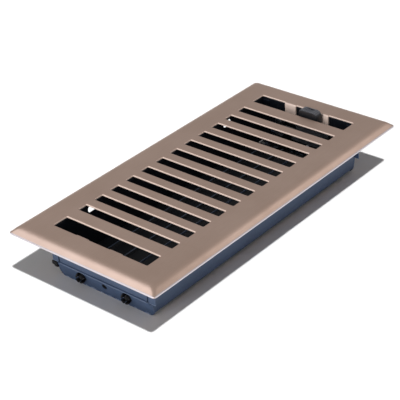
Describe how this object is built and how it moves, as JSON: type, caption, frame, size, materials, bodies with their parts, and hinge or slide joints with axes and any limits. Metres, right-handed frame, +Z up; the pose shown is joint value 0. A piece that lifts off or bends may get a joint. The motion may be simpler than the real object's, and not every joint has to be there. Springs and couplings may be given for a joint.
{
  "type": "floor register",
  "caption": "Stamped floor register with a bevelled slotted faceplate on a shallow damper box, two parallel damper blades and a sliding thumb knob.",
  "frame": {"origin": "middle of the box's foot, under the centre of the faceplate", "axes": "+X along the plate towards the thumb knob, +Y across the plate, +Z up out of the floor"},
  "size_m": [0.2922, 0.143, 0.0489],
  "materials": {
    "satin_nickel": "warm satin nickel plating",
    "slate_paint": "slate-blue satin paint",
    "grey_plastic": "dark grey satin plastic",
    "black_plastic": "black moulded plastic",
    "turned_steel": "turned steel",
    "spring_steel": "spring steel",
    "zinc_steel": "zinc plated steel"
  },
  "bodies": {
    "box": {"duct_grip_far": "black_plastic", "duct_grip_near": "black_plastic", "end_wall_far": "slate_paint", "end_wall_near": "slate_paint", "faceplate": "satin_nickel", "pivot_bush_far_left": "black_plastic", "pivot_bush_far_right": "black_plastic", "pivot_bush_near_left": "black_plastic", "pivot_bush_near_right": "black_plastic", "side_wall_left": "slate_paint", "side_wall_right": "slate_paint", "slide_spring_left": "spring_steel", "slide_spring_right": "spring_steel", "slide_stud_left": "turned_steel", "slide_stud_right": "turned_steel", "stud_cap_left": "spring_steel", "stud_cap_right": "spring_steel"},
    "slide": {"control_slide": "zinc_steel", "knob": "grey_plastic"},
    "left_blade": {"blade_cap_left": "black_plastic", "blade_left": "slate_paint", "blade_rivets_left": "zinc_steel", "crank_left": "black_plastic", "pivot_pin_far_left": "turned_steel", "pivot_pin_near_left": "turned_steel"},
    "right_blade": {"blade_cap_right": "black_plastic", "blade_right": "slate_paint", "blade_rivets_right": "zinc_steel", "crank_right": "black_plastic", "pivot_pin_far_right": "turned_steel", "pivot_pin_near_right": "turned_steel"}
  },
  "joints": [
    {"name": "knob_slide", "type": "slide", "parent": "box", "child": "slide", "axis": [0, 1, 0], "range_m": [0, 0.016]},
    {"name": "left_blade_hinge", "type": "hinge", "parent": "box", "child": "left_blade", "pos_m": [0, 0.0226, 0.0077], "axis": [1, 0, 0], "range_deg": [-76, 0]},
    {"name": "right_blade_hinge", "type": "hinge", "parent": "box", "child": "right_blade", "pos_m": [0, -0.0226, 0.0077], "axis": [1, 0, 0], "range_deg": [-76, 0]}
  ],
  "couplings": [
    {"joint": "left_blade_hinge", "follows": "knob_slide", "rad_per_m": -82.87},
    {"joint": "right_blade_hinge", "follows": "knob_slide", "rad_per_m": -82.87}
  ]
}
